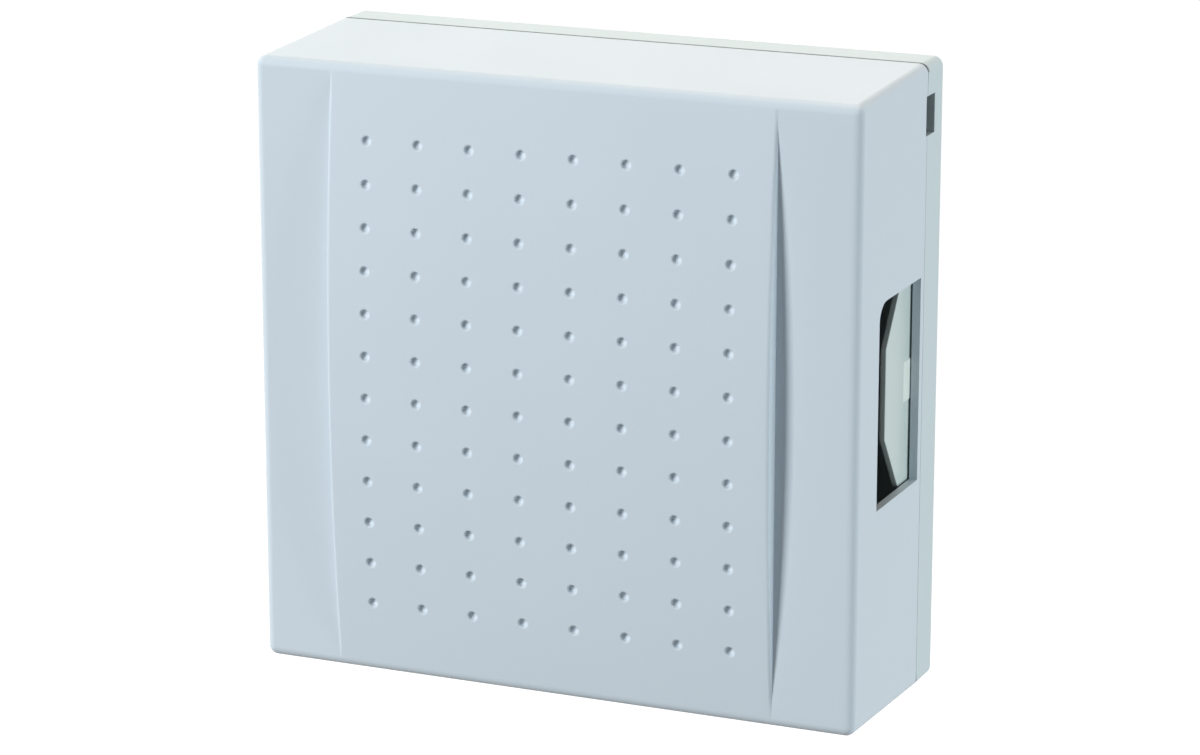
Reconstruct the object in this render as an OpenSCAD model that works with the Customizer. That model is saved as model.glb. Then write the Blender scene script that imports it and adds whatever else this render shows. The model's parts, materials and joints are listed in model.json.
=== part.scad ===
// Wired two-note doorbell chime in a square wall box.
// Millimetres. The origin is the middle of the face that lies on the wall.
// X runs to the right as seen from the room, Y into the wall, Z up.
// A depth is a distance from the wall towards the room, so it lies along -Y.

/* [Case] */
// Width of the case
case_w = 130; // [116:1:170]
// Height of the case at the wall
case_h = 130; // [116:1:170]
// Depth from the wall to the flat front strips
case_d = 47; // [44:0.5:60]
// Depth of the base's visible rim
rim_d = 8.3; // [7:0.1:12]
// How far the cover's top and bottom each lean in from the seam to the front
draft = 1.5; // [0:0.1:3]
// Radius of the rounded outer edges
edge_r = 2; // [1:0.1:3]
// Wall of the cover
wall = 1.8; // [1.4:0.1:2.4]
// Floor of the base
floor_t = 2.5; // [2:0.1:4]
// Open seam between cover and base
seam = 0.6; // [0.3:0.05:0.8]
// Thickness of the lip that the cover slips over
lip_t = 1.2; // [1:0.1:2]
// How far the lip reaches past the rim
lip_h = 3; // [2:0.5:5]
// Gap between the lip and the cover
lip_gap = 0.3; // [0.2:0.05:0.5]

/* [Front panel] */
// Width of the bowed panel
panel_w = 96; // [80:1:110]
// How far the panel's middle stands out of the flat strips
bulge = 3.5; // [1:0.1:6]
// Radius of the panel's crest edges
crest_r = 0.8; // [0.4:0.1:1]
// Columns of dimples
dimple_cols = 8; // [4:1:8]
// Rows of dimples
dimple_rows = 12; // [4:1:12]
// Distance between columns
dimple_dx = 11.25; // [8:0.25:11.5]
// Distance between rows
dimple_dz = 8.8; // [6:0.1:9]
// Width of a dimple at the surface
dimple_w = 1.8; // [1.6:0.1:4]
// Depth of a dimple
dimple_t = 0.9; // [0.4:0.1:1]

/* [Sound windows] */
// Height of a window
window_h = 42; // [30:1:60]
// Height of the windows' middle above the case's middle
window_z = 1; // [-6:0.5:6]
// Distance from the front strips back to a window
window_front = 12; // [8:0.5:16]
// Strip of cover between a window and the seam
window_strip = 1.9; // [1.5:0.1:4]
// Radius of a window's upper front corner
window_r = 4; // [1:0.1:5]

/* [Pry slots] */
// Height of a pry slot
pry_h = 8; // [5:0.5:12]
// Width of a pry slot, from front to back
pry_w = 5; // [4.5:0.1:5.5]
// How far a pry slot reaches in front of the rim, into the cover
pry_front = 1.2; // [1:0.1:2]
// Height of the slots' middle above the case's middle
pry_z = 54.5; // [40:0.5:55]

/* [Release tongues] */
// Thickness of a tongue
tongue_t = 1.2; // [1:0.1:2]
// Gap between a tongue and the cover's wall
tongue_gap = 0.4; // [0.4:0.1:1.5]
// How far a tongue reaches past the window's rear edge
tongue_reach = 13.9; // [11:0.1:18]
// Height of a tongue's front edge
tongue_tip_h = 18.6; // [12:0.2:26]
// Depth of the slopes beside the front edge
tongue_slope = 8.4; // [6:0.2:10]
// How far a tongue overlaps the window's upper and lower edges
tongue_over = 0.3; // [0:0.1:1]
// Clearance round a tongue's foot
foot_gap = 0.3; // [0.25:0.05:0.4]
// Height of the rib that holds a tongue's foot
foot_rib_h = 3.5; // [2.5:0.5:3.5]
// Thickness of that rib
foot_rib_t = 1.5; // [1:0.1:2]
// Height of a tongue's nose
nose_h = 8.4; // [5:0.2:12]
// How far a nose shows in front of the window's rear edge
nose_show = 3.6; // [1:0.1:5]
// How far a nose reaches behind that edge
nose_back = 2.3; // [1:0.1:3]
// Gap between a nose and the cover's wall
nose_gap = 0.2; // [0.2:0.05:0.35]

/* [Tone bars] */
// Thickness of a bar
bar_t = 2.5; // [2:0.1:3]
// Width of a bar
bar_w = 22; // [16:1:24]
// Distance from the case's edge to the ends of the low bar
bar_low_end = 13; // [11:0.5:20]
// Distance from the case's edge to the ends of the high bar
bar_high_end = 20; // [14:0.5:24]
// Where a bar is hung, from its end, as a share of its length
bar_node = 0.224; // [0.2:0.004:0.25]
// Clearance between a bar's screw heads and the tongue
bar_clear = 4.1; // [2.5:0.1:5]
// Radius of a grommet's neck
grommet_r = 3.4; // [3:0.1:4]
// Radius of a grommet's flanges
grommet_flange_r = 5; // [4.6:0.1:5.5]
// Thickness of a grommet's flange
grommet_flange_t = 1.2; // [0.8:0.1:2]
// Thickness of a washer
washer_t = 0.6; // [0.5:0.1:1]
// Radius of a washer
washer_r = 4.2; // [3.8:0.1:4.5]
// Post that carries a bar, along the case's width
post_t = 6; // [5:0.5:8]
// Height of a post's section along the bar
post_h = 9; // [8:0.5:12]
// Material of the post in front of the screw
post_cap = 4.5; // [3.5:0.5:6]

/* [Screws] */
// Radius of the bar and yoke screws
screw_r = 1.5; // [1.2:0.1:1.6]
// Radius of their heads
screw_head_r = 3; // [2.6:0.1:3.4]
// Thickness of their heads
screw_head_t = 2.2; // [1.8:0.1:2.6]
// Width of a screw's slot
slot_w = 0.8; // [0.6:0.1:1]
// Depth of a screw's slot
slot_t = 0.9; // [0.6:0.1:1.2]
// Clearance round a screw
screw_gap = 0.05; // [0.05:0.05:0.1]
// Length of a yoke screw below the yoke
yoke_screw_l = 5; // [3:0.5:5.5]

/* [Solenoid] */
// Length of the coil between the yoke's cheeks
coil_l = 38; // [30:1:42]
// Radius of the bobbin's flanges
flange_r = 11.5; // [10:0.5:12.5]
// Thickness of the bobbin's flanges
flange_t = 1.6; // [1.4:0.1:2.4]
// Depth of the winding under the flanges' edges
winding_sink = 1; // [0.5:0.1:1.6]
// Outer radius of the bobbin's tube
tube_r = 6; // [5.6:0.1:6.6]
// Radius of the plunger's core
core_r = 4; // [3:0.1:4.5]
// Length of the plunger's core
core_l = 36; // [30:1:38]
// How far the resting core sits to the left of the coil's middle
core_shift = 6; // [3:0.5:8]
// Clearance of the core in the bobbin
core_gap = 0.08; // [0.03:0.01:0.1]
// Thickness of the yoke's steel
yoke_t = 1.6; // [1.2:0.1:2]
// Height of the yoke
yoke_h = 22; // [18:1:26]
// Clearance of the bobbin in the yoke
bobbin_gap = 0.1; // [0.1:0.05:0.3]
// Height of the bosses under the yoke, from the floor
boss_h = 6.5; // [6:0.5:8]
// Radius of those bosses
boss_r = 3.8; // [3.4:0.1:4.5]
// Distance between the yoke's screws
yoke_screw_span = 32; // [30:1:36]
// Width of the yoke's ears
ear_w = 11; // [9:0.5:14]
// Thickness of the tape round the winding
tape_t = 0.3; // [0.2:0.1:0.5]
// Width of that tape
tape_w = 22; // [12:1:26]
// Radius of a solder pin
pin_r = 0.5; // [0.4:0.05:0.6]
// Length of a solder pin outside the bobbin
pin_out = 4; // [3:0.5:5]
// Length of a solder pin inside the bobbin
pin_in = 3; // [2:0.5:4]

/* [Striker] */
// Radius of a striker tip
tip_r = 2.5; // [2:0.1:2.8]
// Radius of the spigot that holds a tip in the core
spigot_r = 1.5; // [1.2:0.1:1.8]
// Length of that spigot
spigot_l = 6; // [4:0.5:8]
// Gap from the resting left tip to the low bar
gap_low = 3; // [2:0.5:5]
// Gap from the resting right tip to the high bar
gap_high = 7; // [5:0.5:9]
// Length of the return spring at rest
spring_l = 14.8; // [13:0.1:16]
// Diameter of the spring's wire
wire_d = 0.6; // [0.5:0.05:0.7]
// Turns of the spring
spring_turns = 7; // [5:1:7]
// Gap at each end of the spring
spring_gap = 0.15; // [0.1:0.05:0.3]
// Thickness of the spring's clip
clip_t = 1; // [0.8:0.1:1.4]
// Depth of the clip's groove in the tip
clip_sink = 0.5; // [0.4:0.1:0.8]

/* [Terminals] */
// Distance between the terminals
pole_dx = 11; // [10:0.5:14]
// Height of the terminal block
block_h = 12; // [11:0.5:15]
// Depth of the terminal block
block_d = 12; // [11:0.5:14]
// Material beside the outer terminals
block_side = 6; // [5:0.5:8]
// Height of the block's middle above the case's middle
block_z = -44; // [-46:0.5:-42]
// Height of the plinth under the block, from the floor
plinth_h = 2.5; // [2:0.5:4]
// Width of a brass clamp
clamp_w = 6.2; // [5.6:0.1:6.6]
// Depth of a brass clamp
clamp_d = 5; // [4.6:0.1:6]
// Material of the block behind a clamp
clamp_back = 1.5; // [1:0.1:2]
// Clearance round a clamp
clamp_gap = 0.1; // [0.05:0.05:0.2]
// Radius of a wire hole
wire_hole_r = 1.4; // [1.2:0.1:1.6]
// Brass behind a wire hole
wire_back = 0.6; // [0.4:0.1:1]
// Radius of a clamp screw
pole_screw_r = 1.5; // [1.2:0.1:1.7]
// Radius of a clamp screw's head
pole_head_r = 2.5; // [2.2:0.1:2.7]
// Thickness of a clamp screw's head
pole_head_t = 2; // [1.6:0.1:2.4]
// Clearance round a clamp screw's head
pole_head_gap = 0.4; // [0.3:0.05:0.5]
// Gap under a clamp screw's head
pole_seat_gap = 0.3; // [0.2:0.1:1]
// Radius of the screws that hold the block
block_screw_r = 1; // [0.8:0.1:1.1]
// Radius of their heads
block_head_r = 1.7; // [1.5:0.1:1.8]
// Thickness of their heads
block_head_t = 1.4; // [1.2:0.1:1.8]
// Length of the block's screws below the block
block_screw_l = 3.5; // [2.5:0.5:4]
// Radius of a coil lead
lead_r = 0.7; // [0.5:0.1:0.9]
// How far a coil lead reaches into the block
lead_in = 2; // [1:0.5:2.5]
// Reach of a coil lead's bends
lead_swing = 8; // [4:1:12]

/* [Wall] */
// Radius of a wall screw's hole
wall_hole_r = 2.3; // [1.8:0.1:3]
// Distance between the wall screws
wall_hole_dx = 60; // [40:1:66]
// Height of the wall screws above the case's middle
wall_hole_z = 46; // [36:1:50]
// Radius of the cable hole
cable_r = 6; // [4:0.5:6]
// Height of the cable hole's middle above the case's middle
cable_z = -28; // [-29:0.5:-27]

/* [Hidden] */
$fn = 48;
sides = [-1, 1];
over = 1;
hair = 0.01;

// Cover
cover_d = rim_d + seam;
front_h = case_h - 2 * draft;
edge_in = max(edge_r - wall, 0.4);
panel_hh = front_h / 2 - edge_r;
bow_r = (panel_hh * panel_hh + bulge * bulge) / (2 * bulge);
bow_axis_d = case_d + bulge - bow_r;
bow_angle = 2 * asin((panel_hh + over) / bow_r);
dimple_r = (dimple_w * dimple_w / 4 + dimple_t * dimple_t) / (2 * dimple_t);
window_d0 = cover_d + window_strip;
window_d1 = case_d - window_front;

// Inner face of the cover's side wall, and what stands inside it
inside_x = case_w / 2 - wall;
lip_x = inside_x - lip_gap;
lip_lean = draft * (lip_h - seam) / (case_d - edge_r - cover_d);
tongue_x1 = inside_x - tongue_gap;
tongue_x0 = tongue_x1 - tongue_t;
tongue_h = window_h + 2 * tongue_over;
tongue_d0 = floor_t + foot_gap;
tongue_d1 = window_d0 + tongue_reach;
pocket_h = tongue_h + 2 * foot_gap;
rib_x1 = tongue_x0 - foot_gap;

// Tone bars, from the screw heads inwards
head_x1 = tongue_x0 - bar_clear;
head_x0 = head_x1 - screw_head_t;
washer_x0 = head_x0 - washer_t;
bar_x1 = washer_x0 - grommet_flange_t;
bar_x0 = bar_x1 - bar_t;
post_x1 = bar_x0 - grommet_flange_t;
post_x0 = post_x1 - post_t;
bar_low_l = case_h - 2 * bar_low_end;
bar_high_l = case_h - 2 * bar_high_end;
node_low = bar_low_l * (0.5 - bar_node);
node_high = bar_high_l * (0.5 - bar_node);

// Solenoid
yoke_d0 = floor_t + boss_h;
coil_d = yoke_d0 + yoke_t + bobbin_gap + flange_r;
strap_d = coil_d + flange_r + bobbin_gap;
cheek_x0 = coil_l / 2;
cheek_x1 = cheek_x0 + yoke_t;
flange_x1 = cheek_x0 - bobbin_gap;
flange_x0 = flange_x1 - flange_t;
winding_r = flange_r - winding_sink;
pin_x = (flange_x0 + flange_x1) / 2;
post_d = coil_d + post_cap;

// Striker
core_x0 = -core_shift - core_l / 2;
core_x1 = -core_shift + core_l / 2;
tip_x0 = -bar_x0 + gap_low;
tip_x1 = bar_x0 - gap_high;
spring_r = (core_r + core_gap + tube_r) / 2;
spring_x1 = -cheek_x1 - spring_gap;
spring_x0 = spring_x1 - spring_l;
clip_x1 = spring_x0 - spring_gap;
clip_r = spring_r + wire_d;

// Terminals
block_d0 = floor_t + plinth_h;
block_d1 = block_d0 + block_d;
block_w = 2 * (pole_dx + block_side);
clamp_d0 = block_d0 + clamp_back;
clamp_d1 = clamp_d0 + clamp_d;
wire_d0 = clamp_d0 + wire_back + wire_hole_r;
pole_head_d = clamp_d1 + pole_seat_gap;
lead_end_z = block_z + block_h / 2 - lead_in;

// Rings of the spring and of the leads
wire_sides = 6;
curl_rings = 8;
lead_sides = 8;
lead_rings = 16;

// Helpers

// Places what it holds on a plane at a depth from the wall, facing the room
module at_depth(d) {
    translate([0, -d, 0])
        rotate([90, 0, 0])
            children();
}

// Extrudes a front view from depth d0 to depth d1
module slab(d0, d1) {
    at_depth(d0)
        linear_extrude(d1 - d0)
            children();
}

// Block between two corners, each given as x, depth and z
module brick(a, b) {
    translate([a[0], -b[1], a[2]])
        cube([b[0] - a[0], b[1] - a[1], b[2] - a[2]]);
}

// Round bar along X from x0 to x1
module rod_x(x0, x1, r) {
    translate([x0, 0, 0])
        rotate([0, 90, 0])
            cylinder(h = x1 - x0, r = r);
}

// Round bar towards the room from depth d0 to depth d1
module rod_d(d0, d1, r) {
    at_depth(d0)
        cylinder(h = d1 - d0, r = r);
}

// Rectangle with rounded corners
module soft_rect(w, h, r) {
    square([w - 2 * r, h], center = true);
    square([w, h - 2 * r], center = true);
    for (sx = sides, sz = sides)
        translate([sx * (w / 2 - r), sz * (h / 2 - r)])
            circle(r);
}

// Shell of the cover, shrunk by a wall on every side but the open one
module shell(w, front, back, d0, d1, r) {
    hull()
        for (sx = sides, sz = sides) {
            translate([sx * (w / 2 - r), -(d1 - r), sz * (front / 2 - r)])
                sphere(r, $fn = 32);
            translate([sx * (w / 2 - r), 0, sz * (back / 2 - r)])
                rod_d(d0, d0 + hair, r, $fn = 32);
        }
}

// Bowed prism about an axis that runs along X, w wide and r in radius
module bow(w, r, crest) {
    translate([0, -bow_axis_d, 0])
        rotate([0, 90, 0])
            rotate([0, 0, -90 - bow_angle / 2])
                rotate_extrude(angle = bow_angle, $fn = 720)
                    bow_section(w, r, crest);
}

module bow_section(w, r, crest) {
    root = bow_r - bulge - wall - over;
    translate([root, -w / 2])
        square([r - crest - root, w]);
    if (crest > 0) {
        translate([root, -w / 2 + crest])
            square([r - root, w - 2 * crest]);
        for (s = sides)
            translate([r - crest, s * (w / 2 - crest)])
                circle(crest);
    }
}

// One window, cut from inside the wall to outside, on the right side
module window_cut() {
    translate([inside_x - over, 0, window_z])
        rotate([90, 0, 90])
            linear_extrude(wall + 2 * over)
                window_outline();
}

module window_outline() {
    difference() {
        translate([-window_d1, -window_h / 2])
            square([window_d1 - window_d0, window_h]);
        translate([-window_d1, window_h / 2])
            difference() {
                square(2 * window_r, center = true);
                translate([window_r, -window_r])
                    circle(window_r);
            }
    }
}

// One pry slot across the seam, on the right side
module pry_cut() {
    brick([lip_x - lip_t - over, rim_d + pry_front - pry_w, pry_z - pry_h / 2],
          [case_w / 2 + over, rim_d + pry_front, pry_z + pry_h / 2]);
}

// Slotted screw along X, its head's outer face at x1 and its end at x0
module screw_x(x0, x1) {
    difference() {
        union() {
            rod_x(x0, x1 - screw_head_t / 2, screw_r);
            rod_x(x1 - screw_head_t, x1, screw_head_r);
        }
        translate([x1 - slot_t, -slot_w / 2, -screw_head_r - over])
            cube([slot_t + over, slot_w, 2 * (screw_head_r + over)]);
    }
}

// Slotted screw towards the room, its end at depth d0 and its head from d1
module screw_d(d0, d1, r, head_r, head_t) {
    difference() {
        union() {
            rod_d(d0, d1 + head_t / 2, r);
            rod_d(d1, d1 + head_t, head_r);
        }
        brick([-head_r - over, d1 + head_t - slot_t, -slot_w / 2],
              [head_r + over, d1 + head_t + over, slot_w / 2]);
    }
}

// Each hanging point of the two bars: left or right, and height
bar_points = [
    for (sz = sides) [-1, sz * node_low],
    for (sz = sides) [1, sz * node_high]
];

// Puts right-hand pieces at every hanging point
module at_bar_points() {
    for (p = bar_points)
        translate([0, -coil_d, p[1]])
            mirror([p[0] < 0 ? 1 : 0, 0, 0])
                children();
}

// Round tube along points, with its sides turned about the X axis
function along(path, i) =
    path[min(i + 1, len(path) - 1)] - path[max(i - 1, 0)];
function unit(v) = v / norm(v);
function ring(path, i, r, n) =
    let (t = unit(along(path, i)), b = unit(cross(t, [1, 0, 0])), c = cross(t, b))
    [for (k = [0:n - 1]) path[i] + r * (cos(360 * k / n) * b + sin(360 * k / n) * c)];
function tube_skin(rings, n) = [
    for (i = [0:rings - 2], k = [0:n - 1], half = [0, 1])
        let (a = i * n + k, b = i * n + (k + 1) % n)
        half == 0 ? [a, a + n, b] : [b, a + n, b + n]
];
function tube_cap(first, n, flip) = [
    for (k = [1:n - 2])
        flip ? [first, first + k, first + k + 1] : [first, first + k + 1, first + k]
];

module tube(path, r, n) {
    rings = len(path);
    points = [for (i = [0:rings - 1]) each ring(path, i, r, n)];
    faces = concat(tube_skin(rings, n), tube_cap(0, n, true), tube_cap((rings - 1) * n, n, false));
    polyhedron(points, faces);
}

// Cover and base

module cover() {
    color("#c6d2da")
        difference() {
            union() {
                difference() {
                    shell(case_w, front_h, case_h, cover_d, case_d, edge_r);
                    shell(case_w - 2 * wall, front_h - 2 * wall, case_h - 2 * wall,
                          cover_d - hair, case_d - wall, edge_in);
                }
                intersection() {
                    bow(panel_w, bow_r, crest_r);
                    brick([-panel_w, case_d - wall, -panel_hh], [panel_w, case_d + bulge + over, panel_hh]);
                }
            }
            intersection() {
                bow(panel_w - 2 * wall, bow_r - wall, 0);
                brick([-panel_w, case_d - wall - over, -panel_hh + wall],
                      [panel_w, case_d + bulge, panel_hh - wall]);
            }
            dimples();
            for (m = [0, 1])
                mirror([m, 0, 0]) {
                    window_cut();
                    pry_cut();
                }
        }
}

module dimples() {
    for (i = [0:dimple_cols - 1], j = [0:dimple_rows - 1]) {
        x = (i - (dimple_cols - 1) / 2) * dimple_dx;
        lean = asin((j - (dimple_rows - 1) / 2) * dimple_dz / bow_r);
        translate([x, -bow_axis_d, 0])
            rotate([lean, 0, 0])
                translate([0, -(bow_r - dimple_t + dimple_r), 0])
                    rotate([90, 0, 0])
                        sphere(dimple_r, $fn = 24);
    }
}

module base() {
    color("#c5cdca")
        difference() {
            union() {
                base_tray();
                base_mounts();
            }
            for (m = [0, 1])
                mirror([m, 0, 0]) {
                    pry_cut();
                    translate([wall_hole_dx / 2, 0, wall_hole_z])
                        rod_d(-over, floor_t + over, wall_hole_r);
                }
            translate([0, 0, cable_z])
                rod_d(-over, floor_t + over, cable_r);
            at_bar_points()
                rod_x(post_x0 - over, post_x1 + over, screw_r + screw_gap);
            for (s = sides) {
                translate([0, 0, s * yoke_screw_span / 2])
                    rod_d(yoke_d0 - yoke_screw_l - over, yoke_d0 + over, screw_r + screw_gap);
                translate([s * pole_dx / 2, 0, block_z])
                    rod_d(block_d0 - block_screw_l - over / 2, block_d0 + over, block_screw_r + screw_gap);
            }
        }
}

// Rim, floor and lip, with a pocket for each tongue's foot
module base_tray() {
    inner_w = 2 * (lip_x - lip_t);
    inner_h = case_h - 2 * (wall + lip_gap + lip_t);
    difference() {
        union() {
            slab(0, rim_d)
                soft_rect(case_w, case_h, edge_r);
            slab(rim_d - over, rim_d + lip_h)
                soft_rect(2 * lip_x, case_h - 2 * (wall + lip_gap + lip_lean), edge_in);
        }
        slab(floor_t, rim_d + lip_h + over)
            square([inner_w, inner_h], center = true);
        for (s = sides)
            mirror([s < 0 ? 1 : 0, 0, 0])
                brick([lip_x - lip_t - over, floor_t, window_z - pocket_h / 2],
                      [inside_x, rim_d + lip_h + over, window_z + pocket_h / 2]);
    }
}

// Posts for the bars, ribs at the tongues, bosses for the yoke and the plinth
module base_mounts() {
    at_bar_points()
        translate([0, coil_d, 0])
            brick([post_x0, floor_t - over, -post_h / 2], [post_x1, post_d, post_h / 2]);
    for (s = sides) {
        mirror([s < 0 ? 1 : 0, 0, 0])
            brick([rib_x1 - foot_rib_t, floor_t - over, window_z - tongue_h / 2],
                  [rib_x1, floor_t + foot_rib_h, window_z + tongue_h / 2]);
        translate([0, 0, s * yoke_screw_span / 2])
            rod_d(floor_t - over, yoke_d0, boss_r);
    }
    brick([-block_w / 2, floor_t - over, block_z - block_h / 2],
          [block_w / 2, block_d0, block_z + block_h / 2]);
}

// Release tongues

module tongue() {
    translate([tongue_x0, 0, window_z])
        rotate([90, 0, 90])
            linear_extrude(tongue_t)
                polygon([
                    [-tongue_d0, -tongue_h / 2],
                    [-tongue_d1 + tongue_slope, -tongue_h / 2],
                    [-tongue_d1, -tongue_tip_h / 2],
                    [-tongue_d1, tongue_tip_h / 2],
                    [-tongue_d1 + tongue_slope, tongue_h / 2],
                    [-tongue_d0, tongue_h / 2]
                ]);
    brick([tongue_x1 - tongue_t / 2, window_d0 - nose_back, window_z - nose_h / 2],
          [inside_x - nose_gap, window_d0 + nose_show, window_z + nose_h / 2]);
}

module release_tongue_left() {
    color("#d2dadb")
        mirror([1, 0, 0])
            tongue();
}

module release_tongue_right() {
    color("#d2dadb")
        tongue();
}

// Tone bars and what hangs them

module tone_bar(length, hang) {
    difference() {
        brick([bar_x0, coil_d - bar_w / 2, -length / 2], [bar_x1, coil_d + bar_w / 2, length / 2]);
        for (s = sides)
            translate([0, -coil_d, s * hang])
                rod_x(bar_x0 - over, bar_x1 + over, grommet_r + screw_gap);
    }
}

module tone_bar_low() {
    color("#b9bcc0")
        mirror([1, 0, 0])
            tone_bar(bar_low_l, node_low);
}

module tone_bar_high() {
    color("#b9bcc0")
        tone_bar(bar_high_l, node_high);
}

module bar_grommets() {
    color("#2b2b2d")
        at_bar_points()
            difference() {
                union() {
                    rod_x(post_x1, bar_x0, grommet_flange_r);
                    rod_x(post_x1, washer_x0, grommet_r);
                    rod_x(bar_x1, washer_x0, grommet_flange_r);
                }
                rod_x(post_x1 - over, washer_x0 + over, screw_r + screw_gap);
            }
}

module bar_washers() {
    color("#c9ccd0")
        at_bar_points()
            difference() {
                rod_x(washer_x0, head_x0, washer_r);
                rod_x(washer_x0 - over, head_x0 + over, screw_r + screw_gap);
            }
}

module bar_screws() {
    color("#c9ccd0")
        at_bar_points()
            screw_x(post_x0, head_x1);
}

// Solenoid

module solenoid_yoke() {
    color("#a9adb2")
        difference() {
            union() {
                brick([-cheek_x1, yoke_d0, -yoke_h / 2], [cheek_x1, yoke_d0 + yoke_t, yoke_h / 2]);
                for (s = sides)
                    mirror([s < 0 ? 1 : 0, 0, 0])
                        brick([cheek_x0, yoke_d0, -yoke_h / 2], [cheek_x1, strap_d, yoke_h / 2]);
                brick([-ear_w / 2, yoke_d0, -yoke_screw_span / 2 - boss_r],
                      [ear_w / 2, yoke_d0 + yoke_t, yoke_screw_span / 2 + boss_r]);
            }
            translate([0, -coil_d, 0])
                rod_x(-cheek_x1 - over, cheek_x1 + over, tube_r + bobbin_gap);
            for (s = sides)
                translate([0, 0, s * yoke_screw_span / 2])
                    rod_d(yoke_d0 - over, yoke_d0 + yoke_t + over, screw_r + screw_gap);
        }
}

module solenoid_strap() {
    color("#a9adb2")
        brick([-cheek_x1, strap_d, -yoke_h / 2], [cheek_x1, strap_d + yoke_t, yoke_h / 2]);
}

module coil_bobbin() {
    color("#e8e2cf")
        translate([0, -coil_d, 0])
            difference() {
                union() {
                    rod_x(-cheek_x1, cheek_x1, tube_r);
                    for (m = [0, 1])
                        mirror([m, 0, 0])
                            rod_x(flange_x0, flange_x1, flange_r);
                }
                rod_x(-cheek_x1 - over, cheek_x1 + over, core_r + core_gap);
                for (s = sides)
                    translate([s * pin_x, 0, -flange_r - over])
                        cylinder(h = pin_in + over, r = pin_r);
            }
}

module coil_winding() {
    color("#b5622f")
        translate([0, -coil_d, 0])
            difference() {
                rod_x(-flange_x0, flange_x0, winding_r);
                rod_x(-flange_x0 - over, flange_x0 + over, tube_r);
            }
}

module coil_tape() {
    color("#d9b23c")
        translate([0, -coil_d, 0])
            difference() {
                rod_x(-tape_w / 2, tape_w / 2, winding_r + tape_t);
                rod_x(-tape_w / 2 - over, tape_w / 2 + over, winding_r);
            }
}

module solder_pins() {
    color("#c9a24a")
        for (s = sides)
            translate([s * pin_x, -coil_d, -flange_r - pin_out])
                cylinder(h = pin_out + pin_in, r = pin_r);
}

// A lead leaves its pin downwards, swings to the floor and enters the block from above
function lead_path(s) = let (
    a = [s * pin_x, -coil_d, -flange_r - pin_out],
    b = [s * pin_x, -coil_d, lead_end_z + lead_swing],
    c = [s * pole_dx, -wire_d0, a[2] - lead_swing],
    d = [s * pole_dx, -wire_d0, lead_end_z]
) [
    for (i = [0:lead_rings])
        let (t = i / lead_rings, u = 1 - t)
        u * u * u * a + 3 * u * u * t * b + 3 * u * t * t * c + t * t * t * d
];

module coil_leads() {
    color("#b03a2e")
        for (s = sides)
            tube(lead_path(s), lead_r, lead_sides);
}

module yoke_screws() {
    color("#c9ccd0")
        for (s = sides)
            translate([0, 0, s * yoke_screw_span / 2])
                screw_d(yoke_d0 - yoke_screw_l, yoke_d0 + yoke_t, screw_r, screw_head_r, screw_head_t);
}

// Striker

module plunger_core() {
    color("#8f949a")
        translate([0, -coil_d, 0])
            difference() {
                rod_x(core_x0, core_x1, core_r);
                rod_x(core_x0 - over, core_x0 + spigot_l, spigot_r + screw_gap);
                rod_x(core_x1 - spigot_l, core_x1 + over, spigot_r + screw_gap);
            }
}

module striker_tip_left() {
    color("#efece2")
        translate([0, -coil_d, 0])
            difference() {
                union() {
                    rod_x(tip_x0, core_x0, tip_r);
                    rod_x(core_x0 - over, core_x0 + spigot_l - hair, spigot_r);
                }
                clip_groove();
            }
}

// Groove in the left tip that the clip snaps into
module clip_groove() {
    difference() {
        rod_x(clip_x1 - clip_t, clip_x1, tip_r + over);
        rod_x(clip_x1 - clip_t - over, clip_x1 + over, tip_r - clip_sink);
    }
}

module striker_tip_right() {
    color("#efece2")
        translate([0, -coil_d, 0]) {
            rod_x(core_x1, tip_x1, tip_r);
            rod_x(core_x1 - spigot_l + hair, core_x1 + over, spigot_r);
        }
}

spring_path = [
    for (i = [0:spring_turns * curl_rings])
        let (turn = i / curl_rings, run = spring_l - wire_d)
        [spring_x0 + wire_d / 2 + run * turn / spring_turns,
         -coil_d + spring_r * cos(360 * turn),
         spring_r * sin(360 * turn)]
];
spring_self_gap = min([
    for (i = [0:len(spring_path) - 1], j = [i + curl_rings / 2:len(spring_path) - 1])
        norm(spring_path[i] - spring_path[j])
]) - wire_d;

module return_spring() {
    echo(spring_self_gap = spring_self_gap);
    color("#9a9fa5")
        tube(spring_path, wire_d / 2, wire_sides);
}

module spring_clip() {
    color("#7d8288")
        translate([0, -coil_d, 0])
            difference() {
                rod_x(clip_x1 - clip_t, clip_x1, clip_r);
                rod_x(clip_x1 - clip_t - over, clip_x1 + over, tip_r - clip_sink);
            }
}

// Terminals

poles = [-1, 0, 1];

module terminal_block() {
    color("#ecebe6")
        difference() {
            brick([-block_w / 2, block_d0, block_z - block_h / 2],
                  [block_w / 2, block_d1, block_z + block_h / 2]);
            for (p = poles)
                translate([p * pole_dx, 0, block_z])
                    pole_cut();
            for (s = sides)
                translate([s * pole_dx / 2, 0, block_z]) {
                    rod_d(block_d0 - over, block_d1 + over, block_screw_r + screw_gap);
                    rod_d(clamp_d0, block_d1 + over, block_head_r + screw_gap);
                }
        }
}

// Room for one clamp, its screw and its wire
module pole_cut() {
    cut_w = clamp_w + 2 * clamp_gap;
    brick([-cut_w / 2, clamp_d0, -cut_w / 2], [cut_w / 2, clamp_d1 + clamp_gap, cut_w / 2]);
    rod_d(clamp_d1, block_d1 + over, pole_head_r + pole_head_gap);
    translate([0, -wire_d0, -block_h / 2 - over])
        cylinder(h = block_h + 2 * over, r = wire_hole_r);
}

module terminal_clamps() {
    color("#c9a24a")
        for (p = poles)
            translate([p * pole_dx, 0, block_z])
                difference() {
                    brick([-clamp_w / 2, clamp_d0, -clamp_w / 2], [clamp_w / 2, clamp_d1, clamp_w / 2]);
                    rod_d(wire_d0, clamp_d1 + over, pole_screw_r + screw_gap);
                    translate([0, -wire_d0, -clamp_w])
                        cylinder(h = 2 * clamp_w, r = wire_hole_r);
                }
}

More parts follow.
